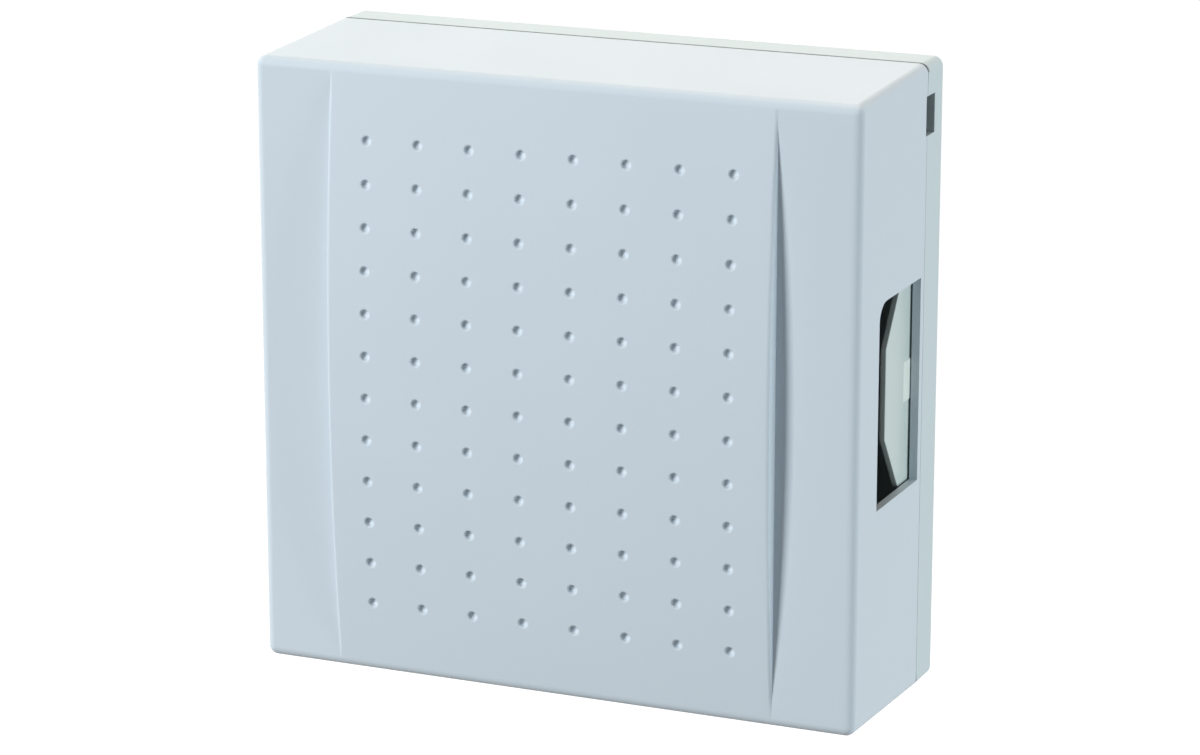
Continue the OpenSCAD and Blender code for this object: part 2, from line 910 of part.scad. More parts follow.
module terminal_screw(p) {
    color("#c9ccd0")
        translate([p * pole_dx, 0, block_z])
            screw_d(wire_d0 + wire_hole_r, pole_head_d, pole_screw_r, pole_head_r, pole_head_t);
}

module terminal_screw_1() { terminal_screw(poles[0]); }
module terminal_screw_2() { terminal_screw(poles[1]); }
module terminal_screw_3() { terminal_screw(poles[2]); }

module block_screws() {
    color("#c9ccd0")
        for (s = sides)
            translate([s * pole_dx / 2, 0, block_z])
                screw_d(block_d0 - block_screw_l, clamp_d0, block_screw_r, block_head_r, block_head_t);
}

cover();
base();
release_tongue_left();
release_tongue_right();
tone_bar_low();
tone_bar_high();
bar_grommets();
bar_washers();
bar_screws();
solenoid_yoke();
solenoid_strap();
coil_bobbin();
coil_winding();
coil_tape();
solder_pins();
coil_leads();
plunger_core();
striker_tip_left();
striker_tip_right();
return_spring();
spring_clip();
yoke_screws();
terminal_block();
terminal_clamps();
block_screws();
terminal_screw_1();
terminal_screw_2();
terminal_screw_3();
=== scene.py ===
# %% [markdown]
# # A square doorbell chime, dressed over its CAD frame
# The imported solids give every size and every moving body. This lesson loads
# them, models the pieces that need softer edges or finer forms, gives every
# piece the finish of its real material, and sets a plain studio around it.

# %% Load the frame
import json
import math

import bmesh
import bpy
from mathutils import Matrix, Vector

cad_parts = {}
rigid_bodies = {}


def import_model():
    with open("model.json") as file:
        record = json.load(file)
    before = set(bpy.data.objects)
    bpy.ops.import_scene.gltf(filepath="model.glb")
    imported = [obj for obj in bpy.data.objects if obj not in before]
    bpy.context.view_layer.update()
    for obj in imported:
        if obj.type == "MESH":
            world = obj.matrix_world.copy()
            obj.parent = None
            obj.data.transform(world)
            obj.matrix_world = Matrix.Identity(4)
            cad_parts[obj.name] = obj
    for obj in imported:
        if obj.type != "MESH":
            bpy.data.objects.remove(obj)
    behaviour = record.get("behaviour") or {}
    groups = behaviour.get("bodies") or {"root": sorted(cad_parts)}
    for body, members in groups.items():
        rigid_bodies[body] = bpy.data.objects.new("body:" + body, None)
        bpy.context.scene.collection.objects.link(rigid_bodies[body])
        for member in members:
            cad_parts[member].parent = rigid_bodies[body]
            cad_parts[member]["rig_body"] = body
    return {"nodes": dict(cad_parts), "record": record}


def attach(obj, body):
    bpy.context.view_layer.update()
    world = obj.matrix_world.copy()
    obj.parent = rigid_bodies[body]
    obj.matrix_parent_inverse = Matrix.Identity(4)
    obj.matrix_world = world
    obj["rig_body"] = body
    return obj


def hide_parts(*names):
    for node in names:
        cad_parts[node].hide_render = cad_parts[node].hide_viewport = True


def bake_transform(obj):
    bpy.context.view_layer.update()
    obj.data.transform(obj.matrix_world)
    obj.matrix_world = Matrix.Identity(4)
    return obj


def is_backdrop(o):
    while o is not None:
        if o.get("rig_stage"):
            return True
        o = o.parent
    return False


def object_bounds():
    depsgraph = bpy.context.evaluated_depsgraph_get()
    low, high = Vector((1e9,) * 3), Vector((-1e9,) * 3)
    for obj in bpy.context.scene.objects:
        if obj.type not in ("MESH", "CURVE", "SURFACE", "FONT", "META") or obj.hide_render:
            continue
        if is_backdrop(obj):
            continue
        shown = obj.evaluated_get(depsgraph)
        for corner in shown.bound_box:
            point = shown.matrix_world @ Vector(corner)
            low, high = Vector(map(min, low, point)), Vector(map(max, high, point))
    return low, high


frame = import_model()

cad_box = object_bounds()
nodes = frame["nodes"]
node_slot = {part["node"]: part["material_slot"] for part in frame["record"]["subparts"]}
print("frame:", len(nodes), "nodes,", [round(1000 * (b - a), 1) for a, b in zip(*cad_box)], "mm")

# %% [markdown]
# ## Colours and nodes
# Colours are written as they are picked on a screen, in sRGB. Shaders work on
# linear light, so one function converts them. A second one adds a shader node
# with its settings, values and links, which keeps each finish readable.

# %% Helpers for every finish
MM = 0.001
# A Mix node repeats its socket names for each kind of data, so its colours go by number.
MIX_A, MIX_B, MIX_RESULT = 6, 7, 2


def srgb(code):
    """Linear RGBA of a hex colour."""
    shares = [int(code[i:i + 2], 16) / 255 for i in (1, 3, 5)]
    return (*[s / 12.92 if s <= 0.04045 else ((s + 0.055) / 1.055) ** 2.4 for s in shares], 1.0)


def add(tree, kind, values=None, links=None, **settings):
    """Adds one shader node."""
    node = tree.nodes.new(kind)
    for name, value in settings.items():
        setattr(node, name, value)
    for socket, value in (values or {}).items():
        node.inputs[socket].default_value = value
    for socket, source in (links or {}).items():
        tree.links.new(source, node.inputs[socket])
    return node


def blank(name):
    """A new material that holds nothing but its output and its surface shader."""
    material = bpy.data.materials.new(name)
    material.use_nodes = True
    tree = material.node_tree
    tree.nodes.clear()
    surface = add(tree, "ShaderNodeBsdfPrincipled")
    add(tree, "ShaderNodeOutputMaterial", links={"Surface": surface.outputs["BSDF"]})
    return material, tree, surface


def per_metre(millimetres):
    """Texture scale at which one cell has this size."""
    return 1 / (millimetres * MM)


print("a mid grey in linear light:", round(srgb("#808080")[0], 3))

# %% [markdown]
# ## Moulded plastic
# The case is ABS from a spark-eroded mould: an even colour, a soft sheen and a
# grain of about a twentieth of a millimetre. That grain is too fine to show, so
# it is drawn at a third of a millimetre and kept faint. A second noise, as wide
# as a thumb, shifts colour and gloss a little, as flow in the mould and hands
# do. Nylon, rubber, tape and wire insulation are moulded or drawn plastics too,
# and only their numbers differ.

# %% A moulded plastic
def moulded(name, colour, tint, roughness, ior, grain_mm=0.35, grain_deep_mm=0.02, flow_mm=28):
    """Moulded plastic: one colour that drifts a little, under a fine grain."""
    material, tree, surface = blank(name)
    at = add(tree, "ShaderNodeTexCoord").outputs["Object"]
    flow = add(tree, "ShaderNodeTexNoise", {"Scale": per_metre(flow_mm), "Detail": 2.0}, {"Vector": at})
    drift = add(tree, "ShaderNodeMix", {MIX_A: srgb(colour), MIX_B: srgb(tint)},
                {0: flow.outputs["Fac"]}, data_type="RGBA")
    gloss = add(tree, "ShaderNodeMapRange", {"To Min": roughness - 0.06, "To Max": roughness + 0.06},
                {"Value": flow.outputs["Fac"]})
    grain = add(tree, "ShaderNodeTexNoise", {"Scale": per_metre(grain_mm), "Detail": 1.0}, {"Vector": at})
    bump = add(tree, "ShaderNodeBump", {"Strength": 0.3, "Distance": grain_deep_mm * MM},
               {"Height": grain.outputs["Fac"]})
    tree.links.new(drift.outputs[MIX_RESULT], surface.inputs["Base Color"])
    tree.links.new(gloss.outputs["Result"], surface.inputs["Roughness"])
    tree.links.new(bump.outputs["Normal"], surface.inputs["Normal"])
    surface.inputs["IOR"].default_value = ior
    return material


# %% All plastics
finish = {
    # ABS gives a soft, wide highlight and no depth: nearly all its colour is at the surface.
    "cover_plastic": moulded("ABS moulded pale blue-grey", "#bdcad3", "#c1cdd6", 0.42, 1.54),
    "base_plastic": moulded("ABS moulded pale grey", "#bac9cd", "#becccf", 0.46, 1.54),
    # Acetal springs back and feels waxy, so it is smoother and a little glossier.
    "tongue_plastic": moulded("acetal moulded off-white", "#bdcbca", "#c1cecc", 0.38, 1.48, flow_mm=12),
    # Natural nylon is a warm, cloudy white. Turned from white rod, it is whiter and a little glossier.
    "bobbin_plastic": moulded("nylon moulded natural", "#d8d3c2", "#e0dbcb", 0.42, 1.53, flow_mm=9),
    "tip_nylon": moulded("nylon turned white", "#dedbd0", "#e6e3d9", 0.36, 1.53, flow_mm=5),
    # A filled polyamide is a dull cream.
    "block_plastic": moulded("polyamide moulded cream", "#cfcabb", "#d6d2c4", 0.46, 1.53, flow_mm=11),
    # Rubber is dull and near black, with a grey bloom.
    "grommet_rubber": moulded("nitrile rubber moulded black", "#26272a", "#36373a", 0.72, 1.52, 0.5, 0.06, 3),
    # Polyester tape is an amber film: smooth, shiny, and rippled where it is wound over wire.
    "coil_tape": moulded("polyester tape wound amber", "#c08c2c", "#cf9b38", 0.26, 1.58, 2.2, 0.12, 7),
    # Drawn PVC is a full red with a greasy shine.
    "lead_insulation": moulded("PVC drawn red", "#8e2d2a", "#9b3530", 0.34, 1.53, 0.8, 0.03, 6),
}
plastics = len(finish)
print("plastics:", plastics)

# %% [markdown]
# ### Painted light and shade
# Two bands of painted light show from outside. The faces of the two tongues'
# noses are painted paler than the plates: a painted highlight. And a thin grey
# line is painted into the open seam between cover and tray, along the top and
# the bottom: painted shade. Both are masks on the object's own coordinates,
# laid over the plastic's colour.

# %% Painted highlight on the noses, painted shade in the seam
CASE_H, WALL = 130.0, 1.8
RIM_D = 8.3
NOSE_X = 63.0


def lay_painted_light(slot, colour, *bands):
    """Lays painted light, as a colour, where each band holds: an axis, and where it goes from none to full,
    in mm.
    """
    tree = finish[slot].node_tree
    at = add(tree, "ShaderNodeSeparateXYZ", links={0: add(tree, "ShaderNodeTexCoord").outputs["Object"]})
    share = None
    for axis, none_mm, full_mm in bands:
        away = add(tree, "ShaderNodeMath", links={0: at.outputs[axis]}, operation="ABSOLUTE")
        band = add(tree, "ShaderNodeMapRange", {"From Min": none_mm * MM, "From Max": full_mm * MM},
                   {"Value": away.outputs[0]}).outputs["Result"]
        share = band if share is None else add(tree, "ShaderNodeMath", links={0: share, 1: band},
                                               operation="MULTIPLY").outputs[0]
    paint = tree.nodes["Principled BSDF"].inputs["Base Color"]
    under = paint.links[0].from_socket
    laid = add(tree, "ShaderNodeMix", {MIX_B: srgb(colour)}, {0: share, MIX_A: under}, data_type="RGBA")
    tree.links.new(laid.outputs[MIX_RESULT], paint)


top_inside = CASE_H / 2 - WALL
# Painted highlight: the noses' faces are painted paler than the plates.
lay_painted_light("tongue_plastic", "#d9e3de", ("X", NOSE_X - 0.15, NOSE_X - 0.05))
# Painted shade: a grey line painted into the open seam, on the top and the bottom.
lay_painted_light("base_plastic", "#7d8384", ("Y", RIM_D - 0.28, RIM_D - 0.18), ("Z", top_inside, top_inside + 0.2))
print("marks: on the noses' faces and in the open seam")

# %% [markdown]
# ## Metal
# The works inside are plated steel, copper and brass. What tells them apart is
# the way they were made: drawn bars have streaks along their length, a turned
# core has rings round it, rolled sheet has long faint lines. One noise,
# stretched along the making direction, gives both the streaks and the small
# change of gloss. A wider noise dulls the plating in patches.

# %% A worked metal
def worked_metal(name, bright, dull, roughness, streak_mm, patch_mm, deep_mm=0.006, enamel=0.0):
    """Bare or plated metal: streak_mm is the size of its marks along x, y and z."""
    material, tree, surface = blank(name)
    at = add(tree, "ShaderNodeTexCoord").outputs["Object"]
    patch = add(tree, "ShaderNodeTexNoise", {"Scale": per_metre(patch_mm), "Detail": 3.0}, {"Vector": at})
    plating = add(tree, "ShaderNodeMix", {MIX_A: srgb(bright), MIX_B: srgb(dull)},
                  {0: patch.outputs["Fac"]}, data_type="RGBA")
    stretch = add(tree, "ShaderNodeMapping", {"Scale": [per_metre(mm) for mm in streak_mm]}, {"Vector": at})
    streak = add(tree, "ShaderNodeTexNoise", {"Scale": 1.0, "Detail": 2.0},
                 {"Vector": stretch.outputs["Vector"]})
    gloss = add(tree, "ShaderNodeMapRange", {"To Min": roughness - 0.1, "To Max": roughness + 0.1},
                {"Value": streak.outputs["Fac"]})
    bump = add(tree, "ShaderNodeBump", {"Strength": 0.35, "Distance": deep_mm * MM},
               {"Height": streak.outputs["Fac"]})
    tree.links.new(plating.outputs[MIX_RESULT], surface.inputs["Base Color"])
    tree.links.new(gloss.outputs["Result"], surface.inputs["Roughness"])
    tree.links.new(bump.outputs["Normal"], surface.inputs["Normal"])
    surface.inputs["Metallic"].default_value = 1.0
    surface.inputs["Coat Weight"].default_value = enamel
    surface.inputs["Coat Roughness"].default_value = 0.12
    return material


# %% All metals
# Real marks are hundredths of a millimetre wide. All streaks here are drawn coarser, to show.
finish |= {
    # Nickel is a warm, bright grey, and drawing leaves streaks along the bar.
    "bar_steel": worked_metal("steel drawn and nickel plated", "#c9c6bf", "#b9b6ae", 0.27,
                              (0.3, 0.3, 25), 14),
    # Zinc is a cooler grey. A headed screw has no direction, only a fine, even speckle.
    "plated_steel": worked_metal("steel headed and zinc plated", "#c3c7cb", "#a9adb3", 0.32,
                                 (0.5, 0.5, 0.5), 2),
    # Rolled sheet has long, faint lines and a duller shine.
    "yoke_steel": worked_metal("steel sheet rolled and zinc plated", "#b4b8ba", "#9a9ea1", 0.38,
                               (14, 0.35, 0.35), 4),
    # Enamel lays a clear, glossy skin over the red-brown of copper.
    "copper_wire": worked_metal("copper wire enamelled", "#b4622f", "#9c4f26", 0.30,
                                (0.4, 4, 4), 3, enamel=0.6),
    # Pressed brass is yellow and fairly bright, with faint lines from rolling.
    "clamp_brass": worked_metal("brass pressed", "#c7a350", "#b08d42", 0.30, (0.4, 6, 0.4), 3),
    # Turning leaves rings round the core, which draw its highlight out along it.
    "core_steel": worked_metal("steel turned", "#a5a7a9", "#8f9193", 0.30, (0.3, 9, 9), 6),
    # Hard-drawn wire is dark and smooth.
    "spring_steel": worked_metal("spring wire drawn", "#8d8f92", "#74777b", 0.28, (0.4, 0.4, 0.4), 3),
}
print("metals:", len(finish) - plastics)
print("every slot has a finish:", set(node_slot.values()) == set(finish))

# %% [markdown]
# ## The cover
# The cover is the face of the object: a drafted shell with rounded edges, a
# bowed middle panel with 96 dimples, a window in each side and half of a pry
# slot at the seam. The solid has all of it, but its edges are knife sharp and
# its fillets are facets. A real moulding catches light along every edge, so the
# shell is modelled again, to the solid's own sizes, in millimetres.

# %% Sizes of the cover, as the solid has them
CASE_W, CASE_D, FRONT_H = 130.0, 47.0, 127.0
COVER_D = 8.9
EDGE_R, EDGE_STEPS = 2.0, 6
INNER_R, MOULD_R = 0.4, 0.15
PANEL_W, BULGE, CREST_R = 96.0, 3.5, 0.8
DIMPLE_COLS, DIMPLE_ROWS = 8, 12
DIMPLE_DX, DIMPLE_DZ = 11.25, 8.8
DIMPLE_W, DIMPLE_T, DIMPLE_RIM = 1.8, 0.9, 0.55
WINDOW_Z, WINDOW_H, WINDOW_R = 1.0, 42.0, 4.0
WINDOW_D = (10.8, 35.0)
PRY_Z, PRY_H, PRY_D = 54.5, 8.0, 9.5
PANEL_HH = FRONT_H / 2 - EDGE_R
BOW_R = (PANEL_HH ** 2 + BULGE ** 2) / (2 * BULGE)
X, Y, Z = 0, 1, 2
print("the panel bows at a radius of", round(BOW_R), "mm")

# %% [markdown]
# ### Walls
# A shell could be drawn as a profile and extruded, but this one's front is less
# high than its back. A cube that is scaled at its front and opened at its back
# has that draft at once, and one bevel rounds all its folds.

# %% Walls of the outer skin
def walls(width, front_h, back_h, back_d, front_d, radius):
    """Five rounded walls of a box that is open towards the wall."""
    bm = bmesh.new()
    middle = -(back_d + front_d) / 2
    bmesh.ops.create_cube(bm, size=1.0)
    bmesh.ops.scale(bm, vec=(width, front_d - back_d, back_h), verts=bm.verts)
    bmesh.ops.translate(bm, vec=(0, middle, 0), verts=bm.verts)
    bmesh.ops.scale(bm, vec=(1, 1, front_h / back_h), verts=[v for v in bm.verts if v.co.y < middle])
    bm.normal_update()
    bmesh.ops.delete(bm, geom=[f for f in bm.faces if f.normal.y > 0.5], context="FACES_ONLY")
    folds = [e for e in bm.edges if len(e.link_faces) == 2]
    bmesh.ops.bevel(bm, geom=folds, offset=radius, offset_type="OFFSET", segments=EDGE_STEPS,
                    profile=0.5, affect="EDGES", material=-1)
    return bm


outer = walls(CASE_W, FRONT_H, CASE_H, COVER_D, CASE_D, EDGE_R)
print("outer walls:", len(outer.faces), "faces")

# %% [markdown]
# ### The dimpled panel
# One tile of the panel is a rectangle with a round dimple in it. The dimple's
# profile is drawn by two spins of a vertex: up the side of a ball from its
# lowest point, then over the rounded rim. A third spin turns the profile into a
# bowl, which is bridged to the tile's edge. The tile is repeated eight by twelve
# times, the edges are drawn out to the panel's border and over its crest, and
# the flat field is lifted into the bow.

# %% One tile
def dimple_tile():
    """A rectangle in the XY plane with one dimple that goes down from it."""
    bm = bmesh.new()
    ball_r = (DIMPLE_W ** 2 / 4 + DIMPLE_T ** 2) / (2 * DIMPLE_T)
    ball_z = ball_r - DIMPLE_T
    below = math.asin((ball_z + DIMPLE_RIM) / (ball_r + DIMPLE_RIM))
    reach = (ball_r + DIMPLE_RIM) * math.cos(below)
    turn = math.pi / 2 - below
    lowest = bm.verts.new((0, 0, -DIMPLE_T))
    side = bmesh.ops.spin(bm, geom=[lowest], cent=(0, 0, ball_z), axis=(0, 1, 0), angle=-turn,
                          steps=4)["geom_last"]
    bmesh.ops.spin(bm, geom=side, cent=(reach, 0, -DIMPLE_RIM), axis=(0, 1, 0), angle=turn, steps=3)
    bmesh.ops.spin(bm, geom=[*bm.verts, *bm.edges], cent=(0, 0, 0), axis=(0, 0, 1), angle=2 * math.pi,
                   steps=16, use_merge=True)
    bmesh.ops.remove_doubles(bm, verts=bm.verts, dist=1e-4)
    rim = [e for e in bm.edges if e.is_boundary]
    corners = bmesh.ops.create_grid(bm, x_segments=4, y_segments=4, size=0.5)["verts"]
    bmesh.ops.scale(bm, vec=(DIMPLE_DX, DIMPLE_DZ, 1), verts=corners)
    bmesh.ops.delete(bm, geom=[v for v in corners if not v.is_boundary], context="VERTS")
    edge = [v for v in corners if v.is_valid]
    # Two loops in one plane may be bridged crosswise, so the outer one is lifted for the bridge.
    bmesh.ops.translate(bm, vec=(0, 0, 1), verts=edge)
    bmesh.ops.bridge_loops(bm, edges=rim + [e for e in bm.edges if e.is_wire])
    bmesh.ops.translate(bm, vec=(0, 0, -1), verts=edge)
    bmesh.ops.recalc_face_normals(bm, faces=bm.faces)
    return bm


tile = dimple_tile()
print("tile:", len(tile.faces), "faces")

# %% Repeat the tile, and draw the field out
def points(parts):
    """The vertices among the parts that an operator gives back."""
    return [part for part in parts if isinstance(part, bmesh.types.BMVert)]


def field_of(bm):
    """Repeats a tile over the panel's columns and rows."""
    first = [*bm.verts, *bm.edges, *bm.faces]
    for i in range(DIMPLE_COLS):
        for j in range(DIMPLE_ROWS):
            copy = bmesh.ops.duplicate(bm, geom=first)["geom"]
            at = ((i - (DIMPLE_COLS - 1) / 2) * DIMPLE_DX, (j - (DIMPLE_ROWS - 1) / 2) * DIMPLE_DZ, 0)
            bmesh.ops.translate(bm, vec=at, verts=points(copy))
    bmesh.ops.delete(bm, geom=points(first), context="VERTS")
    bmesh.ops.remove_doubles(bm, verts=bm.verts, dist=1e-3)
    return bm


def draw_out(bm, axis, side, steps):
    """Extrudes the outermost edges on one side, step by step: outwards, and up or down."""
    reach = max(side * v.co[axis] for v in bm.verts)
    edges = [e for e in bm.edges if e.is_boundary and all(side * v.co[axis] > reach - 1e-3 for v in e.verts)]
    for out, up in steps:
        new = set(points(bmesh.ops.extrude_edge_only(bm, edges=edges)["geom"]))
        shift = Vector((0, 0, up))
        shift[axis] = side * out
        bmesh.ops.translate(bm, vec=shift, verts=list(new))
        edges = [e for e in bm.edges if e.verts[0] in new and e.verts[1] in new]


BORDER_STEPS = 4
panel = field_of(tile)
border = (PANEL_HH - DIMPLE_ROWS * DIMPLE_DZ / 2) / BORDER_STEPS
arc = [math.radians(a) for a in (0, 22.5, 45, 67.5, 90)]
crest = [(CREST_R * (math.sin(b) - math.sin(a)), CREST_R * (math.cos(b) - math.cos(a)))
         for a, b in zip(arc, arc[1:])]
flat = PANEL_W / 2 - CREST_R - DIMPLE_COLS * DIMPLE_DX / 2
for side in (-1, 1):
    draw_out(panel, Y, side, [(border, 0)] * BORDER_STEPS)
for side in (-1, 1):
    draw_out(panel, X, side, [(flat, 0), *crest, (0, -2 * BULGE)])
print("panel:", len(panel.faces), "faces")

# %% Bow the field, and stand it at the front
for v in panel.verts:
    bow = BULGE - BOW_R + math.sqrt(BOW_R ** 2 - v.co.y ** 2)
    v.co.z = max(0.0, v.co.z + bow)
bmesh.ops.rotate(panel, cent=(0, 0, 0), matrix=Matrix.Rotation(math.pi / 2, 3, "X"), verts=panel.verts)
bmesh.ops.translate(panel, vec=(0, -CASE_D, 0), verts=panel.verts)
print("the panel's depth:", round(-min(v.co.y for v in panel.verts), 2), "mm")

# %% [markdown]
# ### The panel goes into the front
# The walls' front is cut along the panel's own rows and columns. So each point
# of the panel's foot meets a point of the hole, and merging doubles joins them.
# A boolean would leave long slivers there.

# %% Cut the front, and take the panel in
# Shares of a normal along an axis, at which a face counts as facing that way, or hardly.
FACING, SQUARELY, HARDLY = 0.995, 0.999, 0.2


def cut(bm, axis, at, where=lambda face: True):
    """Cuts the chosen faces along a plane across one axis."""
    bm.normal_update()
    faces = [f for f in bm.faces if where(f)]
    around = dict.fromkeys(part for f in faces for part in [*f.verts, *f.edges])
    across = Vector((0, 0, 0))
    across[axis] = 1
    bmesh.ops.bisect_plane(bm, geom=[*around, *faces], plane_co=across * at, plane_no=across, dist=1e-5)


def remove(bm, where):
    """Removes the faces whose middle and normal pass a test."""
    bm.normal_update()
    gone = [f for f in bm.faces if where(f.calc_center_median(), f.normal)]
    bmesh.ops.delete(bm, geom=gone, context="FACES")


def levels(verts, axis):
    """The distinct places of vertices along one axis."""
    return sorted({round(v.co[axis], 4) for v in verts})


def take_in(bm, other):
    """Joins another bmesh to this one."""
    mesh = bpy.data.meshes.new("joined")
    other.to_mesh(mesh)
    other.free()
    bm.from_mesh(mesh)
    bpy.data.meshes.remove(mesh)


foot = [v for v in panel.verts if abs(v.co.y + CASE_D) < 1e-4]
rows = [z for z in levels([v for v in foot if abs(v.co.x) > PANEL_W / 2 - 1e-3], Z)
        if abs(z) < PANEL_HH - 1e-3]
columns = levels([v for v in foot if abs(v.co.z) > PANEL_HH - 1e-3], X)
for at in rows:
    cut(outer, Z, at, lambda f: abs(f.normal.x) < FACING and abs(f.normal.z) < HARDLY)
for at in columns:
    cut(outer, X, at, lambda f: abs(f.normal.z) < FACING and abs(f.normal.x) < HARDLY)
remove(outer, lambda middle, normal: normal.y < -SQUARELY and abs(middle.x) < PANEL_W / 2)
take_in(outer, panel)
bmesh.ops.remove_doubles(outer, verts=outer.verts, dist=2e-3)
print("the front meets the panel at", len(rows), "rows and", len(columns), "columns")

# %% [markdown]
# ### Windows and pry slots
# Each side wall is cut along the lines of its openings, and the faces inside
# them are removed. A window has one rounded corner, at its top and front: the
# arc is a vertex spun through a quarter turn, and the small patch between arc
# and corner is filled again. The outer and the inner skin get the same cuts,
# so their openings have matching edges and can be bridged later.

# %% Openings in both side walls
def on_side(face):
    return abs(face.normal.x) > FACING


def open_sides(bm, half_width):
    """Opens a window and half of a pry slot in each side wall."""
    low, high = WINDOW_Z - WINDOW_H / 2, WINDOW_Z + WINDOW_H / 2
    back, front = (-d for d in WINDOW_D)

    def in_slot(at):
        return abs(at.z - PRY_Z) < PRY_H / 2

    for at in (low, high - WINDOW_R, high):
        cut(bm, Z, at, on_side)
    for at in (back, front, front + WINDOW_R):
        cut(bm, Y, at, lambda f: on_side(f) and low < f.calc_center_median().z < high)
    for at in (PRY_Z - PRY_H / 2, PRY_Z + PRY_H / 2):
        cut(bm, Z, at, on_side)
    cut(bm, Y, -PRY_D, lambda f: on_side(f) and in_slot(f.calc_center_median()))
    remove(bm, lambda middle, normal: abs(normal.x) > FACING and (
        (low < middle.z < high and front < middle.y < back) or (in_slot(middle) and middle.y > -PRY_D)))
    for side in (-1, 1):
        arc_middle = Vector((side * half_width, front + WINDOW_R, high - WINDOW_R))
        start = bm.verts.new(arc_middle + Vector((0, -WINDOW_R, 0)))
        corner = bm.verts.new((side * half_width, front, high))
        spun = bmesh.ops.spin(bm, geom=[start], cent=arc_middle, axis=(1, 0, 0), angle=-math.pi / 2,
                              steps=EDGE_STEPS)
        end = spun["geom_last"][0]
        edges = [e for e in bm.edges if e.is_wire]
        edges += [bm.edges.new((end, corner)), bm.edges.new((corner, start))]
        bmesh.ops.contextual_create(bm, geom=edges)
    bmesh.ops.remove_doubles(bm, verts=bm.verts, dist=1e-3)


open_sides(outer, CASE_W / 2)
print("outer skin:", len(outer.faces), "faces")

# %% [markdown]
# ### The inner skin
# The inside of a moulding follows the outside at the wall's thickness. It is a
# smaller box with a bowed recess behind the panel: its front is cut into strips,
# and an extruded copy of them is lifted along the bow.

# %% Model the inner skin
RECESS_STEPS = 10
half_w, half_h = PANEL_W / 2 - WALL, PANEL_HH - WALL
inner = walls(CASE_W - 2 * WALL, FRONT_H - 2 * WALL, CASE_H - 2 * WALL, COVER_D, CASE_D - WALL, INNER_R)


def on_front(face):
    return face.normal.y < -SQUARELY


for at in (-half_w, half_w):
    cut(inner, X, at, on_front)
for k in range(-RECESS_STEPS, RECESS_STEPS + 1):
    cut(inner, Z, half_h * k / RECESS_STEPS,
        lambda f: on_front(f) and abs(f.calc_center_median().x) < half_w)
inner.normal_update()
strips = [f for f in inner.faces if on_front(f) and abs(f.calc_center_median().x) < half_w
          and abs(f.calc_center_median().z) < half_h]
raised = points(bmesh.ops.extrude_face_region(inner, geom=strips)["geom"])
bmesh.ops.delete(inner, geom=[f for f in strips if f.is_valid], context="FACES")
for v in raised:
    v.co.y -= BULGE - BOW_R + WALL + math.sqrt((BOW_R - WALL) ** 2 - v.co.z ** 2)
open_sides(inner, CASE_W / 2 - WALL)
print("inner skin:", len(inner.faces), "faces")

# %% [markdown]
# ### Two skins become one shell
# Bridges round the windows and along the rear edge close the shell. Its sharp
# edges then get the small radius that any mould has. Solidify could give the
# wall its thickness too, but it would press the dimples through to the inside.

# %% Close the shell
SHARP_DEG = 50
SLACK = 0.1


def at_window(edge):
    """Whether an open edge belongs to a window."""
    c = (edge.verts[0].co + edge.verts[1].co) / 2
    in_height = abs(c.z - WINDOW_Z) < WINDOW_H / 2 + SLACK
    return in_height and -c.y > WINDOW_D[0] - SLACK and abs(c.x) > PANEL_W / 2


def holes(bm):
    """How many edges don't have a face on each side."""
    return sum(not e.is_manifold for e in bm.edges)


shell = outer
take_in(shell, inner)
rims = [e for e in shell.edges if e.is_boundary]
windows = [e for e in rims if at_window(e)]
rear = [e for e in rims if not at_window(e)]
for side in (-1, 1):
    bmesh.ops.bridge_loops(shell, edges=[e for e in windows if side * e.verts[0].co.x > 0])
bmesh.ops.bridge_loops(shell, edges=rear)
bmesh.ops.recalc_face_normals(shell, faces=shell.faces)
print("cover:", holes(shell), "open edges before its edges are rounded")
sharp = [e for e in shell.edges
         if e.is_manifold and e.is_convex and e.calc_face_angle() > math.radians(SHARP_DEG)]
bmesh.ops.bevel(shell, geom=sharp, offset=MOULD_R, offset_type="OFFSET", segments=2, profile=0.5,
                affect="EDGES", material=-1)
print("cover:", len(shell.faces), "faces")

# %% [markdown]
# ### From mesh to piece
# A finished mesh becomes an object at the origin, with its place in its points.
# It stands for a CAD node, has that node's material slot and rides on the same
# body. Weighted normals keep large faces flat beside small radii.

# %% Place a finished mesh as a piece
def place(bm, name, body, slot, *replaced, scale=1.0, smooth=35):
    """Turns a bmesh into a piece that rides on a body and stands for CAD nodes."""
    bmesh.ops.scale(bm, vec=(scale,) * 3, verts=bm.verts)
    mesh = bpy.data.meshes.new(name)
    bm.to_mesh(mesh)
    bm.free()
    mesh.shade_smooth()
    mesh.set_sharp_from_angle(angle=math.radians(smooth))
    mesh.materials.append(finish[slot])
    piece = bpy.data.objects.new(name, mesh)
    bpy.context.scene.collection.objects.link(piece)
    weighted = piece.modifiers.new("flat faces stay flat", "WEIGHTED_NORMAL")
    weighted.keep_sharp = True
    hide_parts(*replaced)
    if body:
        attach(piece, body)
    return piece


cover = place(shell, "cover_shell", "cover", "cover_plastic", "cover", scale=MM)
print("placed:", cover.name)

# %% [markdown]
# ## Pieces whose solid is right but for its edges
# Most of the works and the wall tray have the right shape in CAD, with edges
# that no press or mould would leave. A copy of the solid is merged, its flat
# faces are joined again, and its sharp edges get a small radius. The copy then
# stands for the solid.

